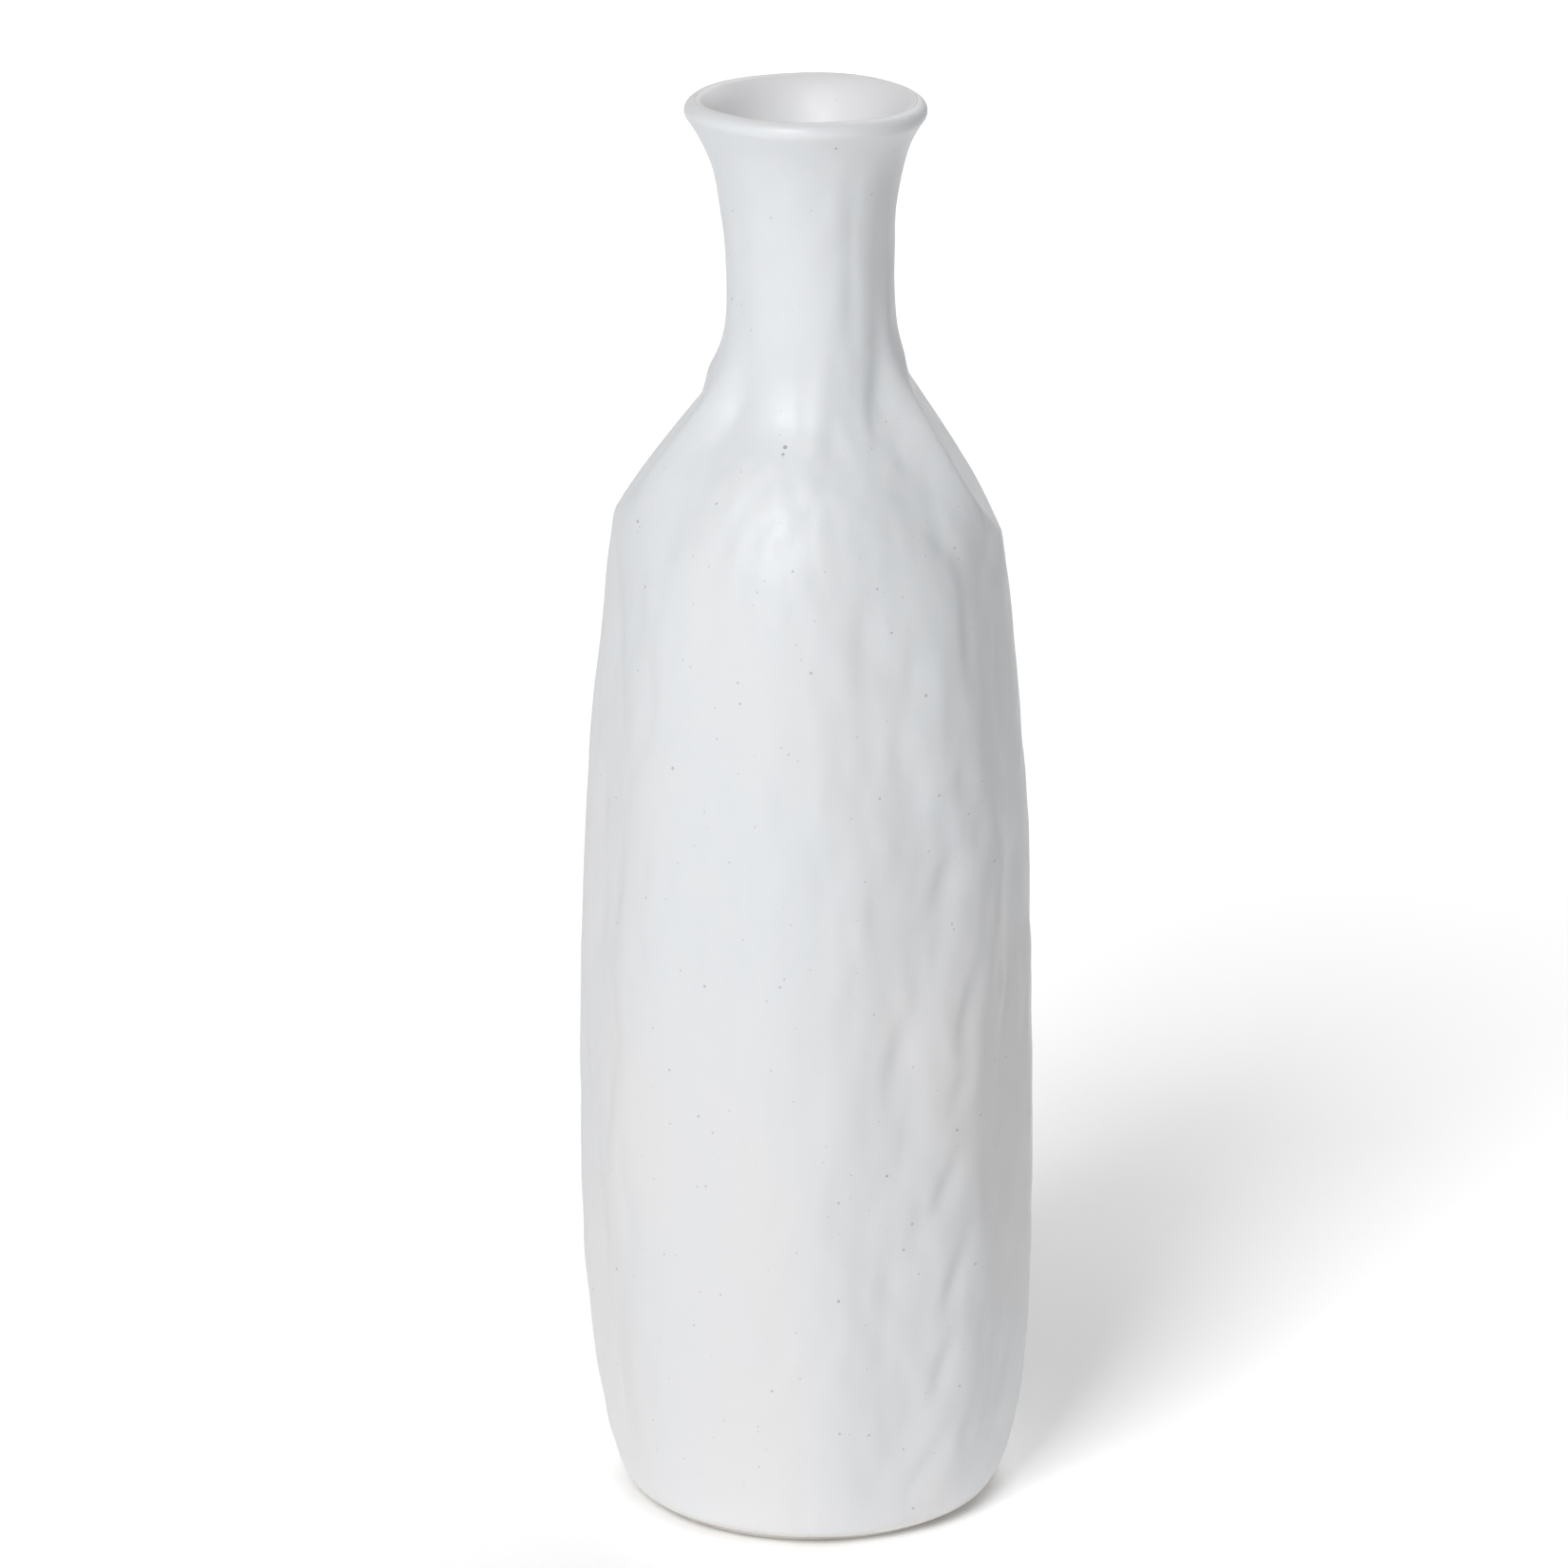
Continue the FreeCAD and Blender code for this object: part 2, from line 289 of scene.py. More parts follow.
@dataclass(frozen=True)
class Press:
    """A shallow oval dent left by a thumb or a paddle.

    Attributes:
        azimuth: Its middle, in degrees.
        height: Its middle, in millimetres.
        reach: Half its height, in millimetres.
        width: Half its width, in millimetres.
        depth: Depth in the middle, in millimetres.
        lean: Degrees that its top leans towards larger azimuths.
        skew: Share by which its left bank is steeper than its right one.
    """

    azimuth: float
    height: float
    reach: float = 8.0
    width: float = 3.4
    depth: float = 0.3
    lean: float = 0.0
    skew: float = 0.25

    def depth_at(self, azimuth: np.ndarray, height: np.ndarray, radius: np.ndarray) -> np.ndarray:
        """Depth of the dent in millimetres at each place."""
        across = np.radians(turn_from(self.azimuth, azimuth)) * radius
        along = height - self.height
        lean = math.radians(self.lean)
        across, along = (
            across * math.cos(lean) - along * math.sin(lean),
            across * math.sin(lean) + along * math.cos(lean),
        )
        width = self.width * np.where(across < 0, 1.0 - self.skew, 1.0 + self.skew)
        return self.depth * np.exp(-(((across / width) ** 2 + (along / self.reach) ** 2) ** PRESS_STEEPNESS))


@dataclass(frozen=True)
class Facet:
    """A flat cut off the shoulder with a straight blade.

    Attributes:
        azimuth: The way that it faces, in degrees.
        foot: Distance from the axis and height where it starts, in millimetres.
        head: Distance from the axis and height where it stops, in millimetres.
        softness: How softly the blade's cut runs into the clay round it.
    """

    azimuth: float
    foot: tuple[float, float]
    head: tuple[float, float]
    softness: float = 0.16

    def cut(self, place: np.ndarray, height: np.ndarray, inset: float) -> np.ndarray:
        """Moves that bring every place inside the facet.

        Args:
            place: Places in millimetres, one a row.
            height: Their heights as laid out, in millimetres.
            inset: How far under the surface of the glaze, in millimetres.

        Returns:
            One level move for each place.
        """
        (foot, low), (head, high) = self.foot, self.head
        slope = (head - foot) / (high - low)
        edge = foot + slope * (height - low) - inset * math.hypot(1.0, slope)
        turn = math.radians(self.azimuth)
        spoke = np.array([math.sin(turn), -math.cos(turn), 0.0])
        over = softly_over(place @ spoke - edge, self.softness)
        reach = ease(165.0, 172.0, height) * (1.0 - ease(high - 3.5, high + 4.0, height))
        return -(over * reach)[:, None] * spoke


@dataclass(frozen=True)
class HandWork:
    """All that the potter's hands and paddle did to the round form. Lengths are in millimetres.

    Attributes:
        ridges: Azimuths of the soft upright ridges between the paddled flats.
        flat_depths: How far each flat, from its ridge to the next, lies inside the round form.
        flat_softness: How softly a flat runs into its ridges.
        flat_unevenness: Share by which a flat grows deeper and shallower up the side.
        carve_depth: Depth of the hollow in the front and back of the shoulder.
        facets: The two facets of the shoulder.
        laid_out_height: Height of the vase that all these heights were laid out for.
        seed: Start of the random presses out of sight.
    """

    ridges: tuple[float, ...] = (0.0, 46.0, 91.0, 137.0, 180.0, 225.0, 268.0, 311.0)
    flat_depths: tuple[float, ...] = (0.8, 1.4, 1.2, 1.1, 1.2, 1.1, 1.3, 0.6)
    flat_softness: float = 0.45
    flat_unevenness: float = 0.3
    carve_depth: float = 3.0
    facets: tuple[Facet, ...] = (
        Facet(92.5, (34.5, 171.6), (15.8, 202.4)),
        Facet(-97.0, (37.0, 171.6), (16.6, 199.6)),
    )
    laid_out_height: float = 250.0
    seed: int = 11

    def all_presses(self) -> list[Press]:
        """The presses listed in front, and seeded ones round the back."""
        chance = random.Random(self.seed)
        hidden = [
            Press(
                azimuth=chance.uniform(82.0, 278.0),
                height=height + chance.uniform(-5.0, 5.0),
                reach=chance.uniform(5.0, 9.0),
                width=chance.uniform(2.2, 3.2),
                depth=chance.uniform(0.25, 0.55),
                lean=chance.uniform(-12.0, 12.0),
                skew=chance.uniform(-0.3, 0.3),
            )
            for height in np.linspace(14.0, 170.0, 60)
        ]
        right = [Press(*row) for row in RIGHT_PRESSES]
        left = [Press(*row, skew=-Press.skew) for row in LEFT_PRESSES]
        middle = [Press(*row) for row in MIDDLE_PRESSES]
        return right + left + middle + hidden

    def depth(self, azimuth: np.ndarray, height: np.ndarray, radius: np.ndarray) -> np.ndarray:
        """How far the outside is pressed in, in millimetres, at each azimuth, height and radius."""
        swayed = azimuth - self.sway(azimuth, height)
        upright = ease(0.0, 16.0, height) * (1.0 - ease(168.0, 184.0, height))
        pressed = np.zeros_like(height)
        pairs = zip(self.ridges, self.ridges[1:] + (self.ridges[0] + 360.0,))
        for number, (left, right) in enumerate(pairs):
            turn = np.radians(turn_from(0.5 * (left + right), swayed))
            uneven = self.flat_unevenness * np.sin(height / 17.0 + 2.1 * number)
            depth = self.flat_depths[number] * (1.0 + uneven)
            cut = radius - (radius - depth) / np.maximum(np.cos(turn), 0.2)
            pressed += upright * softly_over(cut, self.flat_softness)
        pressed += self.shoulder_hollow(azimuth, height) + self.neck_flutes(azimuth, height)
        for press in self.all_presses():
            pressed += press.depth_at(azimuth, height, radius)
        return pressed

    @staticmethod
    def sway(azimuth: np.ndarray, height: np.ndarray) -> np.ndarray:
        """How far the ridges wander sideways, in degrees: a slow and a quick wave, and a bow on the right."""
        waves = 1.8 * np.sin(height / 15.0) + 1.1 * np.sin(height / 6.3 + 1.0)
        return waves + 6.0 * swell(50.0, 30.0, azimuth) * swell(118.0, 22.0, height)

    def shoulder_hollow(self, azimuth: np.ndarray, height: np.ndarray) -> np.ndarray:
        """The hollow scraped into the shoulder between its side facets, front and back."""
        hollow = ease(167.0, 188.0, height) * (1.0 - ease(198.0, 214.0, height))
        front = 1.0 - ease(44.0, 70.0, np.abs(turn_from(0.0, azimuth)))
        back = 1.0 - ease(42.0, 70.0, np.abs(turn_from(183.0, azimuth)))
        return self.carve_depth * hollow * (front + 0.9 * back)

    def neck_flutes(self, azimuth: np.ndarray, height: np.ndarray) -> np.ndarray:
        """Finger flats that run up the neck."""
        reach = ease(203.0, 214.0, height) * (1.0 - ease(236.0, 246.0, height))
        return reach * sum(
            depth * swell(0.0, width, turn_from(middle, azimuth)) for middle, width, depth in NECK_FLUTES
        )

    def drift(self, height: np.ndarray) -> np.ndarray:
        """How far the axis wanders towards +X at each height."""
        foot = 0.85 * (1.0 - ease(8.0, 62.0, height))
        return 0.6 * swell(212.0, 16.0, height) + foot - 0.3 * ease(232.0, 246.0, height)

    def lip_wave(self, azimuth: np.ndarray, height: np.ndarray) -> tuple[np.ndarray, np.ndarray]:
        """The uneven lip: how far it moves outwards and upwards."""
        near = ease(236.0, 247.0, height)
        turn = np.radians(azimuth)
        out = 0.22 * np.sin(2.0 * turn + 0.6) + 0.1 * np.sin(5.0 * turn + 1.9)
        up = 0.16 * np.sin(2.0 * turn + 2.4) + 0.07 * np.sin(5.0 * turn) - 0.22
        return near * out, near * up


# How much steeper than a bell the sides of a press are.
PRESS_STEEPNESS = 1.05

# Finger flats on the neck: azimuth, width and depth.
NECK_FLUTES = (
    (29.0, 6.0, 0.13), (-22.0, 8.0, 0.1), (54.0, 8.0, 0.17), (-52.0, 9.0, 0.12), (100.0, 9.0, 0.14),
    (142.0, 8.0, 0.14), (188.0, 10.0, 0.14), (236.0, 8.0, 0.14), (275.0, 9.0, 0.14),
)

# Presses of the front: azimuth, height, reach, width, depth and, where it leans, lean.
RIGHT_PRESSES = (
    (48, 177, 4.5, 2.3, 0.44, -33), (51, 162, 7, 2.3, 0.6), (69, 158, 6, 2.1, 0.3, 14),
    (42, 145, 4, 2.3, 0.32, 8), (45, 138, 4, 2.3, 0.44, 6), (27, 139, 5.5, 2.8, 0.32),
    (16, 166, 4, 2.6, 0.22, -3), (38, 121, 5.5, 2.5, 0.6, 29), (36, 111, 4, 2.5, 0.32),
    (45, 98, 7, 2.6, 0.74, 17), (64, 93, 5, 1.8, 0.4, 20), (24, 92, 7, 2.8, 0.44, 20),
    (37, 66, 5, 2.2, 0.68, 27), (40, 48, 6.5, 2.4, 0.8, 20), (37, 32, 6.5, 2.5, 0.7, 18),
    (34, 15, 4.5, 2.3, 0.52, 30), (50, 128, 4.5, 2.3, 0.26), (22, 50, 4.5, 3, 0.3, 8),
    (18, 119, 4.5, 2.6, 0.28, 6), (26, 77, 4, 2.4, 0.3, 12), (64, 28, 5.5, 2.1, 0.3, 6),
    (31, 158, 5, 2.6, 0.28, 10), (56, 140, 6.5, 2.1, 0.3, 6), (52, 112, 5.5, 2.1, 0.3, 10),
    (54, 66, 6.5, 2.3, 0.3, 8), (29, 60, 4.5, 2.3, 0.26, 14), (52, 40, 5.5, 2.3, 0.3, 14),
    (27, 24, 5, 2.8, 0.26, 20), (47, 20, 4.5, 2.1, 0.32, 20), (42, 84, 4, 2.1, 0.36, 20),
    (31, 105, 4.5, 2.5, 0.26, 14), (10, 100, 6, 3.2, 0.18, 8), (8, 64, 7, 3.2, 0.18, 8),
)
LEFT_PRESSES = (
    (-76, 168, 5, 2.3, 0.44, -40), (-69, 159, 5, 2.3, 0.44), (-55, 163, 5, 2.5, 0.36, -6),
    (-48, 155, 5, 2.5, 0.32, -3), (-50, 144, 6, 2.5, 0.4, 16), (-65, 150, 5, 2.3, 0.36, -22),
    (-74, 130, 6.5, 2.1, 0.32, -10), (-47, 123, 6.5, 2.8, 0.32, 5), (-48, 111, 5, 2.5, 0.3, 2),
    (-59, 116, 7, 2.3, 0.36, 6), (-59, 96, 7, 2.3, 0.44, -9), (-60, 78, 11, 2.3, 0.44, 9),
    (-79, 81, 10, 1.8, 0.32, -9), (-70, 65, 6, 2.1, 0.4, -24), (-66, 52, 7, 2.1, 0.36),
    (-52, 59, 7, 2.5, 0.44, -13), (-47, 31, 8, 2.5, 0.32, -2), (-65, 27, 7, 2.1, 0.32, -9),
    (-42, 75, 4.5, 2.8, 0.26, -11), (-70, 110, 6.5, 2.1, 0.3, 8),
)
MIDDLE_PRESSES = (
    (-30, 168, 5, 3, 0.16), (-16, 143, 7, 3, 0.2, 14), (5, 122, 8, 3, 0.16), (-21, 136, 4, 2.6, 0.3, -24),
    (-6, 135, 4, 2.8, 0.28, 10), (4, 156, 5, 3, 0.2), (-20, 96, 8, 3.4, 0.16), (-8, 40, 8, 3.4, 0.14),
    (-28, 60, 8, 3.4, 0.18), (-2, 82, 7, 3.2, 0.18, 8), (-34, 98, 6, 2.8, 0.24), (-32, 20, 6, 3, 0.2),
    (40, 200, 5.5, 2.5, 0.36, 24), (-43, 198, 6.5, 2.8, 0.32, -24), (12, 196, 5, 2.6, 0.3, 14),
)


# ------------------------------------------------------------------ turning and working the sheets


@dataclass(frozen=True)
class Wheel:
    """Turns section lines into meshes and works them by hand.

    Attributes:
        form: The section that it turns.
        hands: The hand work on it.
        gathering: How much closer the columns of a mesh stand in front, as a share.
    """

    form: ThrownForm
    hands: HandWork
    gathering: float = 0.4

    def sheet(self, side: Side, inset: float, steps: int) -> bmesh.types.BMesh:
        """Turns one face of the wall round the axis and works it.

        Args:
            side: The face of the wall.
            inset: How far under the surface of the glaze, in metres.
            steps: Divisions round the axis.

        Returns:
            An open mesh whose faces point away from the clay.
        """
        line = {
            Side.OUTSIDE: self.form.outside,
            Side.INSIDE: self.form.inside,
            Side.UNDERSIDE: self.form.underside,
        }[side](inset)
        mesh = bmesh.new()
        corners = [mesh.verts.new((spot.radius, 0.0, spot.height)) for spot in line]
        edges = [mesh.edges.new(pair) for pair in zip(corners, corners[1:])]
        bmesh.ops.spin(
            mesh, geom=corners + edges, cent=(0, 0, 0), axis=(0, 0, 1), dvec=(0, 0, 0),
            angle=math.tau, steps=steps, use_merge=True,
        )
        bmesh.ops.remove_doubles(mesh, verts=mesh.verts, dist=1e-6)
        self.face_away(mesh, side)
        self.work(mesh, side, inset)
        return mesh

    @staticmethod
    def face_away(mesh: bmesh.types.BMesh, side: Side) -> None:
        """Turns an open sheet's faces away from the clay."""
        bmesh.ops.recalc_face_normals(mesh, faces=mesh.faces)
        mesh.faces.ensure_lookup_table()
        if side is Side.UNDERSIDE:
            away = -sum(face.normal.z for face in mesh.faces)
        else:
            away = sum(face.normal.xy.dot(face.calc_center_median().xy) for face in mesh.faces)
            away = -away if side is Side.INSIDE else away
        if away < 0:
            bmesh.ops.reverse_faces(mesh, faces=mesh.faces)

    def work(self, mesh: bmesh.types.BMesh, side: Side, inset: float) -> None:
        """Gathers a sheet's columns towards the front, then presses, scrapes and bends it in place."""
        mesh.normal_update()
        verts = list(mesh.verts)
        place = np.array([vert.co for vert in verts]) / MM
        normal = np.array([vert.normal for vert in verts])
        radius = np.hypot(place[:, 0], place[:, 1])
        lean = np.hypot(normal[:, 0], normal[:, 1]) * (-1.0 if side is Side.INSIDE else 1.0)
        turn = np.arctan2(place[:, 0], -place[:, 1])
        turn -= self.gathering * np.sin(turn)
        azimuth = np.degrees(turn)
        place[:, :2] = np.stack([np.sin(turn), -np.cos(turn)], axis=1) * radius[:, None]
        normal[:, :2] = np.stack([np.sin(turn), -np.cos(turn)], axis=1) * lean[:, None]
        stretch = self.hands.laid_out_height * MM / self.form.height
        height = place[:, 2] * stretch
        if side is Side.OUTSIDE:
            pressed = self.hands.depth(azimuth, height, radius) + self.unrest(place, height)
            place -= normal * pressed[:, None]
            for facet in self.hands.facets:
                place += facet.cut(place, place[:, 2] * stretch, inset / MM)
        elif side is Side.INSIDE:
            rings = 0.22 * np.sin(height / 1.15 + np.radians(azimuth)) * (1.0 - ease(190.0, 226.0, height))
            place -= normal * (rings * ease(12.0, 24.0, height))[:, None]
        out, up = self.hands.lip_wave(azimuth, height)
        spoke = np.stack([np.sin(np.radians(azimuth)), -np.cos(np.radians(azimuth))], axis=1)
        place[:, :2] += spoke * out[:, None]
        place[:, 2] += up
        place[:, 0] += self.hands.drift(height)
        for vert, spot in zip(verts, place * MM):
            vert.co = spot

    @staticmethod
    def unrest(place: np.ndarray, height: np.ndarray) -> np.ndarray:
        """A slow and a quick unevenness over the whole outside, in millimetres."""
        slow = np.array([noise.noise(Vector((x / 13.0, y / 13.0, z / 26.0 + 5.0))) for x, y, z in place])
        quick = np.array([noise.noise(Vector((x / 3.8, y / 3.8, z / 7.5 - 9.0))) for x, y, z in place])
        return (0.3 * slow + 0.19 * quick) * ease(0.0, 8.0, height) * (1.0 - ease(236.0, 246.0, height))


def joined(sheets: list[bmesh.types.BMesh]) -> bmesh.types.BMesh:
    """Joins sheets edge to edge into one closed mesh."""
    whole = bmesh.new()
    for sheet in sheets:
        carrier = bpy.data.meshes.new("carrier")
        sheet.to_mesh(carrier)
        whole.from_mesh(carrier)
        bpy.data.meshes.remove(carrier)
        sheet.free()
    bmesh.ops.remove_doubles(whole, verts=whole.verts, dist=0.02 * MM)
    bmesh.ops.recalc_face_normals(whole, faces=whole.faces)
    return whole


def as_piece(mesh: bmesh.types.BMesh, name: str, node: str) -> bpy.types.Object:
    """Makes a finished bmesh a smooth piece that rides on the vase and stands for its CAD node."""
    data = bpy.data.meshes.new(name)
    mesh.to_mesh(data)
    mesh.free()
    data.shade_smooth()
    piece = bpy.data.objects.new(name, data)
    bpy.context.scene.collection.objects.link(piece)
    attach(piece, BODY)
    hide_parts(node)
    return piece


# ------------------------------------------------------------------ finishes


class Bench:
    """Adds nodes to a tree, sets their constants and links them."""

    def __init__(self, tree: bpy.types.NodeTree) -> None:
        """Takes the tree to work on."""
        self.tree = tree

    def add(
        self, kind: str, inputs: dict[str | int, object] | None = None, **settings: object
    ) -> bpy.types.Node:
        """Adds one node.

        Args:
            kind: Node type without its ShaderNode prefix.
            inputs: Value or feeding socket for each input, by name or number.
            settings: Properties of the node itself.

        Returns:
            The new node.
        """
        prefix = "" if kind.startswith("NodeGroup") else "ShaderNode"
        node = self.tree.nodes.new(prefix + kind)
        for name, value in settings.items():
            setattr(node, name, value)
        for socket, value in (inputs or {}).items():
            if isinstance(value, bpy.types.NodeSocket):
                self.tree.links.new(value, node.inputs[socket])
            else:
                node.inputs[socket].default_value = value
        return node

    def maths(self, operation: str, *values: object, clamp: bool = False) -> bpy.types.NodeSocket:
        """Result of a Math node on up to three values or sockets."""
        return self.add("Math", dict(enumerate(values)), operation=operation, use_clamp=clamp).outputs[0]

    def blend(self, share: object, first: object, second: object) -> bpy.types.NodeSocket:
        """Colour that goes from the first to the second as share goes from 0 to 1."""
        return self.add("Mix", {0: share, 6: first, 7: second}, data_type="RGBA").outputs[2]

    def ramp(
        self, value: object, low: float, high: float, start: float = 0.0, end: float = 1.0
    ) -> bpy.types.NodeSocket:
        """Value moved smoothly from the range low to high into the range start to end."""
        inputs = {"Value": value, "From Min": low, "From Max": high, "To Min": start, "To Max": end}
        return self.add("MapRange", inputs, interpolation_type="SMOOTHSTEP").outputs[0]


def effect(
    name: str, inputs: dict[str, object], outputs: dict[str, str]
) -> tuple[bpy.types.ShaderNodeTree, Bench]:
    """Starts a node group.

    Args:
        name: Name of the group.
        inputs: Default of each input. None stands for a vector of coordinates.
        outputs: Socket type of each output.

    Returns:
        The group and a bench to fill it.
    """
    group = bpy.data.node_groups.new(name, "ShaderNodeTree")
    for label, default in inputs.items():
        kind = "NodeSocketVector" if default is None else "NodeSocketFloat"
        socket = group.interface.new_socket(name=label, in_out="INPUT", socket_type=kind)
        if default is not None:
            socket.default_value = default
    for label, kind in outputs.items():
        group.interface.new_socket(name=label, in_out="OUTPUT", socket_type=kind)
    return group, Bench(group)


def speck_effect() -> bpy.types.ShaderNodeTree:
    """Round specks scattered through the coat, in one size class."""
    group, bench = effect(
        "specks",
        {"Vector": None, "Scale": 300.0, "Size": 0.1, "Chance": 0.5, "Softness": 0.4},
        {"Mask": "NodeSocketFloat"},
    )
    given = bench.add("NodeGroupInput").outputs
    cells = bench.add("TexVoronoi", {"Vector": given["Vector"], "Scale": given["Scale"], "Randomness": 1.0})
    lots = bench.add("SeparateColor", {"Color": cells.outputs["Color"]}).outputs
    there = bench.maths("LESS_THAN", lots[0], given["Chance"])
    size = bench.maths("MULTIPLY", given["Size"], bench.maths("MULTIPLY_ADD", lots[1], 0.6, 0.4))
    core = bench.maths("MULTIPLY", size, bench.maths("SUBTRACT", 1.0, given["Softness"]))
    gone = bench.add("MapRange", {"Value": cells.outputs["Distance"], "From Min": core, "From Max": size})
    mask = bench.maths("MULTIPLY", there, bench.maths("SUBTRACT", 1.0, gone.outputs[0]), clamp=True)
    bench.add("NodeGroupOutput", {"Mask": mask})
    return group


def cloud_effect() -> bpy.types.ShaderNodeTree:
    """Slow clouds that stretch up and down, as where a coat lies thicker or ran a little."""
    group, bench = effect(
        "clouds",
        {"Vector": None, "Scale": 30.0, "Run": 0.5},
        {"Cloud": "NodeSocketFloat", "Fine": "NodeSocketFloat"},
    )
    given = bench.add("NodeGroupInput").outputs
    squeeze = bench.add("CombineXYZ", {0: 1.0, 1: 1.0, 2: given["Run"]}).outputs[0]
    drawn = bench.add("VectorMath", {0: given["Vector"], 1: squeeze}, operation="MULTIPLY").outputs[0]
    slow = bench.add("TexNoise", {"Vector": drawn, "Scale": given["Scale"], "Detail": 2.0, "Roughness": 0.5})
    fast = bench.maths("MULTIPLY", given["Scale"], 9.0)
    fine = bench.add("TexNoise", {"Vector": drawn, "Scale": fast, "Detail": 3.0, "Roughness": 0.6})
    bench.add(
        "NodeGroupOutput",
        {"Cloud": bench.ramp(slow.outputs[0], 0.3, 0.7), "Fine": bench.ramp(fine.outputs[0], 0.25, 0.75)},
    )
    return group


def skin_effect() -> bpy.types.ShaderNodeTree:
    """Fine relief in metres: the peel of a coat or the grit of clay."""
    group, bench = effect(
        "skin",
        {
            "Vector": None,
            "Peel size": 4.0 * MM,
            "Peel depth": 0.1 * MM,
            "Grain size": 0.8 * MM,
            "Grain depth": 0.02 * MM,
        },
        {"Height": "NodeSocketFloat"},
    )
    given = bench.add("NodeGroupInput").outputs
    layers = []
    for size, depth, detail in (("Peel size", "Peel depth", 1.0), ("Grain size", "Grain depth", 2.0)):
        scale = bench.maths("DIVIDE", 1.0, given[size])
        layer = bench.add("TexNoise", {"Vector": given["Vector"], "Scale": scale, "Detail": detail})
        layers.append(bench.maths("MULTIPLY", layer.outputs[0], given[depth]))
    bench.add("NodeGroupOutput", {"Height": bench.maths("ADD", *layers)})
    return group


@dataclass(frozen=True)
class Effects:
    """The node groups that the finishes share."""

    specks: bpy.types.ShaderNodeTree = field(default_factory=speck_effect)
    clouds: bpy.types.ShaderNodeTree = field(default_factory=cloud_effect)
    skin: bpy.types.ShaderNodeTree = field(default_factory=skin_effect)


@dataclass(frozen=True)
class PlacedSpeck:
    """One iron speck burnt through the glaze.

    Attributes:
        azimuth: Its place round the vase, in degrees.
        height: Its height as laid out, in millimetres.
        size: Its diameter, in millimetres.
        depth: How dark it is, from 0 to 1.
    """

    azimuth: float
    height: float
    size: float = 0.6
    depth: float = 0.6


# Specks of the front: azimuth, height, size and depth.
PLACED_SPECKS = (
    (-11, 194.5, 1, 0.75), (-11.5, 193.5, 0.75, 0.65), (14, 245.5, 0.6, 0.6), (-24, 232.5, 0.5, 0.4),
    (43, 236, 0.5, 0.4), (-76, 230.5, 0.5, 0.4), (47, 197, 0.5, 0.4), (-34.5, 185.5, 0.6, 0.5),
    (-64, 180, 0.8, 0.55), (-4.5, 176.5, 0.6, 0.5), (-19.5, 157.5, 0.5, 0.45), (-18.5, 154, 0.55, 0.5),
    (-25, 147.5, 0.5, 0.4), (-5, 146, 0.5, 0.4), (-36.5, 160, 0.4, 0.35), (-34, 159, 0.4, 0.35),
    (-28.5, 190.5, 0.4, 0.35), (-4, 116.5, 0.4, 0.35), (-20.5, 126.5, 0.45, 0.4), (-35, 125, 0.45, 0.35),
    (-28.5, 80.5, 0.6, 0.5), (-24.5, 78, 0.5, 0.45), (-26.5, 68, 0.55, 0.45), (-38.5, 54, 0.5, 0.4),
    (-22.5, 48.5, 0.5, 0.4), (-30, 42, 0.5, 0.4), (-9, 31.5, 0.6, 0.5), (-13, 16.5, 0.5, 0.4),
    (-9, 90.5, 0.5, 0.3), (-46, 21, 0.5, 0.3), (21, 173, 0.6, 0.5), (24.5, 165.5, 0.6, 0.5),
    (19.5, 137.5, 0.55, 0.5), (37, 136.5, 0.6, 0.5), (46.5, 132, 0.5, 0.4), (56.5, 122, 0.6, 0.5),
    (33.5, 127, 0.5, 0.4), (40, 113.5, 0.55, 0.45), (57, 86, 0.6, 0.5), (49.5, 77.5, 0.55, 0.5),
    (40.5, 76.5, 0.65, 0.6), (20.5, 70.5, 0.65, 0.65), (27.5, 61, 0.6, 0.55), (47.5, 50.5, 0.6, 0.5),
    (29.5, 51.5, 0.5, 0.4), (43, 28.5, 0.6, 0.5), (8.5, 23.5, 0.6, 0.5), (16.5, 22.5, 0.6, 0.5),
    (27, 18.5, 0.5, 0.4), (11, 71.5, 0.45, 0.35), (32, 6, 0.7, 0.5),
)


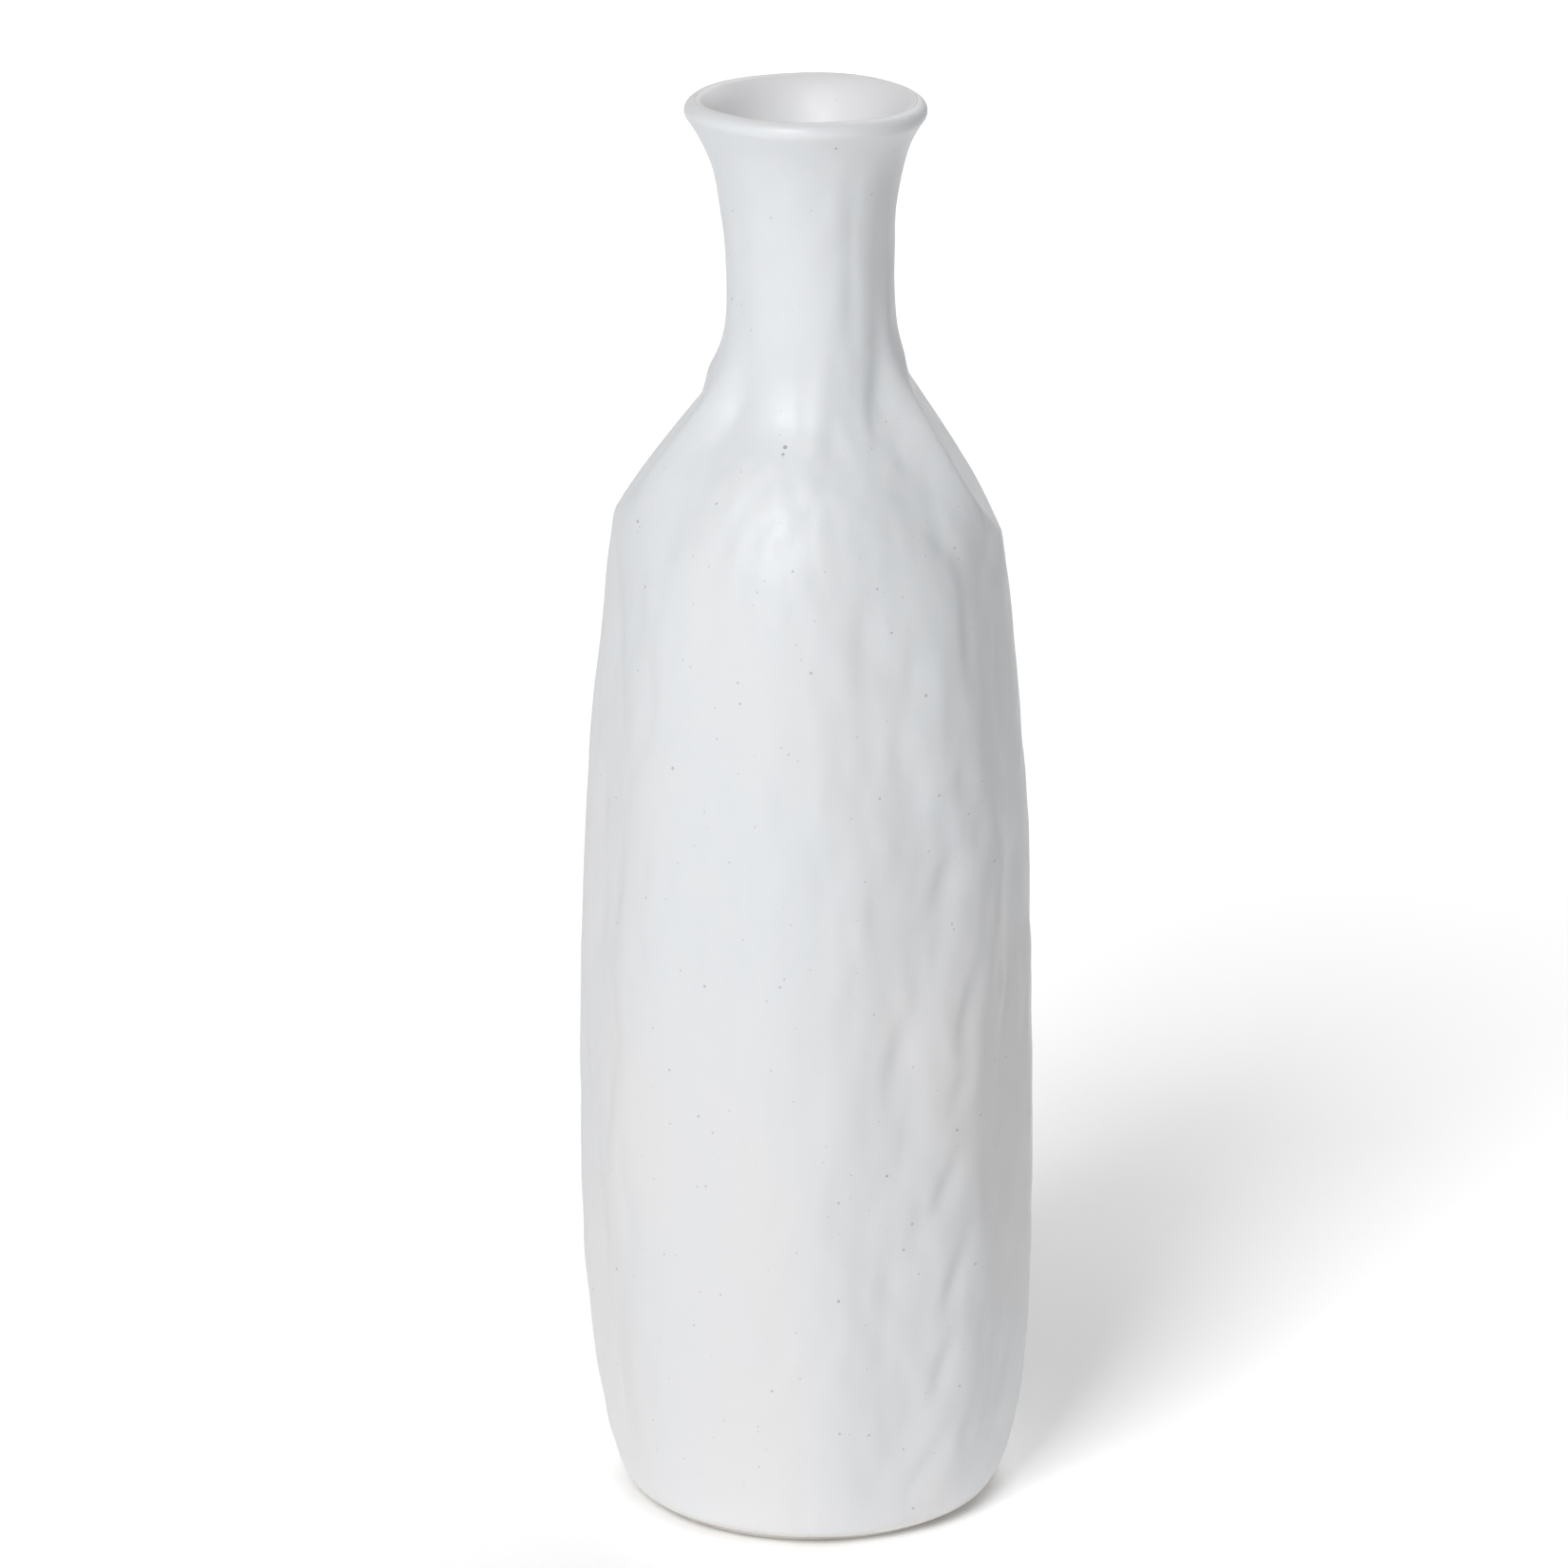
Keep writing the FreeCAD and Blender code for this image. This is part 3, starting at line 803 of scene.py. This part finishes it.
@dataclass(frozen=True)
class SatinGlaze:
    """A satin white glaze with iron specks, which runs thinner and warmer over edges, with painted shade that
    cools and darkens it towards the top.

    Attributes:
        name: Name of the material.
        thick_and_shaded_coat: Colour where the coat is thick, and the painted shade towards the top.
        thin_and_lit_coat: Colour where the coat is thinner, and the painted light towards the foot.
        edge: Colour over sharp edges, where the clay warms it.
        roughness: Lowest and highest roughness.
        lip_height: Height of the crest of the lip, in metres.
        foot_height: Height where the coat ends, in metres.
    """

    name: str
    thick_and_shaded_coat: tuple[float, float, float, float]
    thin_and_lit_coat: tuple[float, float, float, float]
    edge: tuple[float, float, float, float]
    roughness: tuple[float, float]
    lip_height: float
    foot_height: float

    def material(self, effects: Effects, placed: list[tuple[Vector, PlacedSpeck]]) -> bpy.types.Material:
        """Builds the material.

        Args:
            effects: Node groups shared by the finishes.
            placed: Listed specks, each with its point on the surface.

        Returns:
            The new material.
        """
        made = bpy.data.materials.new(self.name)
        made.use_nodes = True
        made.node_tree.nodes.clear()
        bench = Bench(made.node_tree)
        spot = bench.add("TexCoord").outputs["Object"]
        height = bench.add("SeparateXYZ", {0: spot}).outputs[2]
        clouds = bench.add("Group", node_tree=effects.clouds)
        made.node_tree.links.new(spot, clouds.inputs["Vector"])
        clouds.inputs["Scale"].default_value = 34.0
        # Painted shade: the coat turns cooler and darker towards the top and lighter towards the foot,
        # standing in for dimmer light from above and bounce from the table.
        painted_top_shade = bench.ramp(height, 0.15 * self.lip_height, 0.8 * self.lip_height, 0.0, 0.62)
        pooling_and_top_shade = bench.maths("MULTIPLY_ADD", clouds.outputs["Cloud"], 0.6, painted_top_shade, clamp=True)
        colour = bench.blend(pooling_and_top_shade, self.thin_and_lit_coat, self.thick_and_shaded_coat)
        mottle = bench.maths("MULTIPLY", clouds.outputs["Fine"], 0.35)
        colour = bench.blend(mottle, colour, self.thin_and_lit_coat)
        crest = bench.ramp(height, self.lip_height - 0.8 * MM, self.lip_height, 0.0, 0.5)
        wiped = bench.ramp(height, self.foot_height + 2.0 * MM, self.foot_height, 0.0, 0.8)
        worn = bench.maths("ADD", crest, wiped, clamp=True)
        colour = bench.blend(worn, colour, self.edge)
        marks = self.scattered(bench, effects, spot)
        colour = bench.blend(marks, colour, IRON)
        if placed:
            colour = bench.blend(self.chosen(bench, spot, placed), colour, IRON)
        skin = bench.add("Group", node_tree=effects.skin)
        made.node_tree.links.new(spot, skin.inputs["Vector"])
        relief = bench.maths("SUBTRACT", skin.outputs["Height"], bench.maths("MULTIPLY", marks, 0.02 * MM))
        bump = bench.add("Bump", {"Strength": 0.6, "Distance": 1.0, "Height": relief})
        low, high = self.roughness
        rough = bench.ramp(clouds.outputs["Fine"], 0.0, 1.0, low, high)
        shader = bench.add(
            "BsdfPrincipled",
            {"Base Color": colour, "Roughness": rough, "Specular IOR Level": 0.45, "Normal": bump.outputs[0]},
        )
        bench.add("OutputMaterial", {"Surface": shader.outputs[0]})
        return made

    @staticmethod
    def scattered(bench: Bench, effects: Effects, spot: bpy.types.NodeSocket) -> bpy.types.NodeSocket:
        """Faint tiny specks and fewer large ones, as one mask."""
        masks = []
        for scale, size, chance, weight in ((420.0, 0.11, 0.6, 0.28), (210.0, 0.08, 0.45, 0.45)):
            specks = bench.add("Group", node_tree=effects.specks)
            bench.tree.links.new(spot, specks.inputs["Vector"])
            for label, value in (("Scale", scale), ("Size", size), ("Chance", chance)):
                specks.inputs[label].default_value = value
            masks.append(bench.maths("MULTIPLY", specks.outputs["Mask"], weight))
        return bench.maths("MAXIMUM", *masks)

    @staticmethod
    def chosen(
        bench: Bench, spot: bpy.types.NodeSocket, placed: list[tuple[Vector, PlacedSpeck]]
    ) -> bpy.types.NodeSocket:
        """The listed specks, as one mask."""
        mask = 0.0
        for point, speck in placed:
            away = bench.add("VectorMath", {0: spot, 1: point}, operation="DISTANCE").outputs["Value"]
            reach = 0.5 * speck.size * MM
            mask = bench.maths("MAXIMUM", bench.ramp(away, reach, 0.45 * reach, 0.0, speck.depth), mask)
        return mask


IRON = (0.30, 0.26, 0.22, 1.0)


@dataclass(frozen=True)
class BareClay:
    """Unglazed buff stoneware with grog and turning marks."""

    name: str = "bare_stoneware"
    body: tuple[float, float, float, float] = (0.62, 0.60, 0.565, 1.0)
    dark: tuple[float, float, float, float] = (0.50, 0.47, 0.43, 1.0)
    roughness: tuple[float, float] = (0.75, 0.92)

    def material(self, effects: Effects) -> bpy.types.Material:
        """Builds the material from the shared effects."""
        made = bpy.data.materials.new(self.name)
        made.use_nodes = True
        made.node_tree.nodes.clear()
        bench = Bench(made.node_tree)
        spot = bench.add("TexCoord").outputs["Object"]
        clouds = bench.add("Group", node_tree=effects.clouds)
        specks = bench.add("Group", node_tree=effects.specks)
        skin = bench.add("Group", node_tree=effects.skin)
        for group in (clouds, specks, skin):
            made.node_tree.links.new(spot, group.inputs["Vector"])
        clouds.inputs["Scale"].default_value = 60.0
        clouds.inputs["Run"].default_value = 1.0
        specks.inputs["Scale"].default_value = 700.0
        specks.inputs["Size"].default_value = 0.28
        skin.inputs["Peel size"].default_value = 1.2 * MM
        skin.inputs["Peel depth"].default_value = 0.06 * MM
        skin.inputs["Grain size"].default_value = 0.3 * MM
        skin.inputs["Grain depth"].default_value = 0.04 * MM
        colour = bench.blend(clouds.outputs["Cloud"], self.body, self.dark)
        colour = bench.blend(bench.maths("MULTIPLY", specks.outputs["Mask"], 0.55), colour, IRON)
        bump = bench.add("Bump", {"Strength": 0.8, "Distance": 1.0, "Height": skin.outputs["Height"]})
        rough = bench.ramp(clouds.outputs["Fine"], 0.0, 1.0, *self.roughness)
        shader = bench.add(
            "BsdfPrincipled",
            {"Base Color": colour, "Roughness": rough, "IOR": 1.45, "Normal": bump.outputs[0]},
        )
        bench.add("OutputMaterial", {"Surface": shader.outputs[0]})
        return made


# ------------------------------------------------------------------ the three pieces


@dataclass(frozen=True)
class OuterCoat:
    """The glaze outside, from the wiped foot to the crest of the lip."""

    wheel: Wheel
    effects: Effects
    steps: int = 240
    wipe_tilt: tuple[float, float] = (0.010, -0.006)

    def build(self) -> bpy.types.Object:
        """Turns the coat, wipes its foot, gives it its thickness and dresses it."""
        form = self.wheel.form
        mesh = self.wheel.sheet(Side.OUTSIDE, 0.0, self.steps)
        bmesh.ops.bisect_plane(
            mesh, geom=mesh.verts[:] + mesh.edges[:] + mesh.faces[:], clear_inner=True,
            plane_co=(0.0, 0.0, form.bare_foot), plane_no=Vector((*self.wipe_tilt, 1.0)).normalized(),
        )
        surface = BVHTree.FromBMesh(mesh)
        bmesh.ops.solidify(mesh, geom=mesh.faces[:], thickness=form.glaze)
        piece = as_piece(mesh, "outer_coat", "outer_glaze")
        piece.data.materials.append(self.finish().material(self.effects, self.speck_points(surface)))
        return piece

    def finish(self) -> SatinGlaze:
        """The glaze outside."""
        return SatinGlaze(
            name="satin_white_glaze",
            # The first colour is also the painted shade towards the top, the second the painted light towards
            # the foot.
            thick_and_shaded_coat=(0.790, 0.820, 0.846, 1.0),
            thin_and_lit_coat=(0.842, 0.834, 0.842, 1.0),
            edge=(0.81, 0.79, 0.77, 1.0),
            roughness=(0.38, 0.47),
            lip_height=self.wheel.form.height,
            foot_height=self.wheel.form.bare_foot,
        )

    def speck_points(self, surface: BVHTree) -> list[tuple[Vector, PlacedSpeck]]:
        """Finds each chosen speck's point on the outside, along a ray from far out."""
        found = []
        rise = self.wheel.form.height / self.wheel.hands.laid_out_height
        for speck in (PlacedSpeck(*row) for row in PLACED_SPECKS):
            turn = math.radians(speck.azimuth)
            spoke = Vector((math.sin(turn), -math.cos(turn), 0.0))
            start = spoke + Vector((0.0, 0.0, speck.height * rise))
            point = surface.ray_cast(start, -spoke)[0]
            if point is not None:
                found.append((point, speck))
        return found


@dataclass(frozen=True)
class LinerCoat:
    """The glaze inside, from the crest of the lip over the floor."""

    wheel: Wheel
    effects: Effects
    steps: int = 160

    def build(self) -> bpy.types.Object:
        """Turns the liner, gives it its thickness and dresses it."""
        form = self.wheel.form
        mesh = self.wheel.sheet(Side.INSIDE, 0.0, self.steps)
        bmesh.ops.solidify(mesh, geom=mesh.faces[:], thickness=form.glaze)
        piece = as_piece(mesh, "liner_coat", "liner_glaze")
        finish = SatinGlaze(
            name="satin_liner_glaze",
            # The first colour is also the painted shade towards the top, the second the painted light towards
            # the foot.
            thick_and_shaded_coat=(0.82, 0.825, 0.84, 1.0),
            thin_and_lit_coat=(0.835, 0.83, 0.84, 1.0),
            edge=(0.81, 0.79, 0.77, 1.0),
            roughness=(0.40, 0.48),
            lip_height=form.height,
            foot_height=-form.height,
        )
        piece.data.materials.append(finish.material(self.effects, []))
        return piece


@dataclass(frozen=True)
class ClayWall:
    """The fired clay under both coats, bare at the foot."""

    wheel: Wheel
    effects: Effects
    steps: int = 144

    def build(self) -> bpy.types.Object:
        """Turns the three faces of the wall, joins them and dresses the clay."""
        glaze = self.wheel.form.glaze
        sheets = [self.wheel.sheet(side, glaze, self.steps) for side in Side]
        piece = as_piece(joined(sheets), "clay_wall", "stoneware_body")
        piece.data.materials.append(BareClay().material(self.effects))
        return piece


# ------------------------------------------------------------------ the studio


@dataclass(frozen=True)
class Lamp:
    """A soft box that faces the vase.

    Attributes:
        name: Name of the light.
        azimuth: Where it stands, in degrees.
        elevation: Degrees above the vase's middle.
        distance: Metres from the vase's middle.
        size: Width and height in metres.
        strength: Brightness that it gives a white card which faces it.
    """

    name: str
    azimuth: float
    elevation: float
    distance: float
    size: tuple[float, float]
    strength: float

    def hang(self, aim: Vector) -> None:
        """Adds the light to the scene."""
        light = bpy.data.lights.new(self.name, "AREA")
        light.shape = "RECTANGLE"
        light.size, light.size_y = self.size
        light.energy = self.strength * (math.pi * self.distance) ** 2
        turn, rise = math.radians(self.azimuth), math.radians(self.elevation)
        back = Vector((math.sin(turn) * math.cos(rise), -math.cos(turn) * math.cos(rise), math.sin(rise)))
        lamp = bpy.data.objects.new(self.name, light)
        lamp.location = aim + back * self.distance
        lamp.rotation_mode = "QUATERNION"
        lamp.rotation_quaternion = (-back).to_track_quat("-Z", "Y")
        bpy.context.scene.collection.objects.link(lamp)


@dataclass(frozen=True)
class Studio:
    """White table and sweep, soft boxes and the camera.

    Attributes:
        height: Height of the vase, in metres.
        white_sky: Brightness of the surroundings straight on.
        soft_sky: Brightness that the surroundings light the vase with.
        bright_sky: Brightness that the surroundings are mirrored with.
        table_lift: Light that the table sends to the eye beside what falls on it.
        table_glow: Light that the table round the foot sends up the vase.
        glow_reach: How far from the vase that light reaches, in metres.
        foot_shade: From where to where the lift grows close to the foot, in metres.
        near_shade: The same for the shadow beside the vase.
        far_shade: The same for the paper far away.
        table_size: Half the width of the table, in metres.
        lamps: The soft boxes.
    """

    height: float
    white_sky: float = 1.1
    soft_sky: float = 0.075
    bright_sky: float = 0.75
    table_lift: float = 0.34
    table_glow: float = 0.23
    glow_reach: float = 0.33
    foot_shade: tuple[float, float] = (28.0 * MM, 37.0 * MM)
    near_shade: tuple[float, float] = (50.0 * MM, 150.0 * MM)
    far_shade: tuple[float, float] = (0.2, 1.2)
    table_size: float = 4.0
    lamps: tuple[Lamp, ...] = (
        Lamp("key_box", -25.0, 40.0, 2.6, (0.85, 1.5), 0.71),
        Lamp("back_box", 155.0, 40.0, 1.8, (1.5, 1.2), 0.32),
    )

    def build(self) -> None:
        """Sets up everything round the vase."""
        bpy.context.scene.view_settings.view_transform = "Standard"
        self.table()
        self.sky()
        for lamp in self.lamps:
            lamp.hang(Vector((0.0, 0.0, 0.5 * self.height)))

    def table(self) -> None:
        """Lays the white table top."""
        mesh = bmesh.new()
        bmesh.ops.create_grid(mesh, x_segments=2, y_segments=2, size=self.table_size)
        data = bpy.data.meshes.new("table")
        mesh.to_mesh(data)
        mesh.free()
        top = bpy.data.objects.new("table", data)
        bpy.context.scene.collection.objects.link(top)
        paper = bpy.data.materials.new("white_paper")
        paper.use_nodes = True
        paper.node_tree.nodes.clear()
        bench = Bench(paper.node_tree)
        matt = bench.add("BsdfDiffuse", {"Color": (1.05, 1.05, 1.05, 1.0)}).outputs[0]
        spot = bench.add("TexCoord").outputs["Object"]
        away = bench.add("VectorMath", {0: spot}, operation="LENGTH").outputs["Value"]
        whole = self.table_lift
        foot = bench.ramp(away, *self.foot_shade, 0.1 * whole, 0.74 * whole)
        near = bench.ramp(away, *self.near_shade, 0.0, 0.35 * whole)
        far = bench.ramp(away, *self.far_shade, 0.0, whole)
        lift = bench.maths("ADD", bench.maths("ADD", foot, near), far)
        glow = bench.ramp(away, 0.0, self.glow_reach, self.table_glow, 0.0)
        lights = [bench.add("Emission", {"Strength": light}).outputs[0] for light in (lift, glow)]
        lifted, bounced = (bench.add("AddShader", {0: matt, 1: light}).outputs[0] for light in lights)
        soft = bench.add("LightPath").outputs["Is Diffuse Ray"]
        seen = bench.add("MixShader", {0: soft, 1: lifted, 2: bounced})
        bench.add("OutputMaterial", {"Surface": seen.outputs[0]})
        top.data.materials.append(paper)

    def sky(self) -> None:
        """Surrounds the table with white, dimmer where it only lights the vase."""
        world = bpy.data.worlds.new("white_room")
        world.use_nodes = True
        world.node_tree.nodes.clear()
        bench = Bench(world.node_tree)
        path = bench.add("LightPath").outputs
        straight, mirrored = self.white_sky - self.soft_sky, self.bright_sky - self.soft_sky
        strength = bench.maths("MULTIPLY_ADD", path["Is Camera Ray"], straight, self.soft_sky)
        strength = bench.maths("MULTIPLY_ADD", path["Is Glossy Ray"], mirrored, strength)
        room = bench.add("Background", {"Color": (1.0, 1.0, 1.0, 1.0), "Strength": strength})
        bench.add("OutputWorld", {"Surface": room.outputs[0]})
        bpy.context.scene.world = world


@dataclass(frozen=True)
class Viewpoint:
    """A long lens that looks a little down at the vase."""

    distance: float = 1.200
    height: float = 0.5216
    aside: float = -0.0039
    dip: float = 18.194
    lens: float = 170.28
    sensor: float = 36.0

    def build(self) -> None:
        """Sets the camera up in front of the vase."""
        eye = bpy.data.cameras.new("eye")
        eye.sensor_width = self.sensor
        eye.lens = self.lens
        eye.clip_end = 100.0
        camera = bpy.data.objects.new("eye", eye)
        camera.location = (self.aside, -self.distance, self.height)
        camera.rotation_euler = (math.radians(90.0 - self.dip), 0.0, 0.0)
        bpy.context.scene.collection.objects.link(camera)
        bpy.context.scene.camera = camera


def main() -> None:
    """Builds the vase and its studio."""
    logging.basicConfig(level=logging.INFO, format="%(name)s: %(message)s")
    form = ThrownForm.from_frame()
    wheel = Wheel(form, HandWork())
    effects = Effects()
    for maker in (ClayWall(wheel, effects), LinerCoat(wheel, effects), OuterCoat(wheel, effects)):
        piece = maker.build()
        log.info("%s: %d faces", piece.name, len(piece.data.polygons))
    Studio(form.height).build()
    Viewpoint().build()


if __name__ == "__main__":
    main()
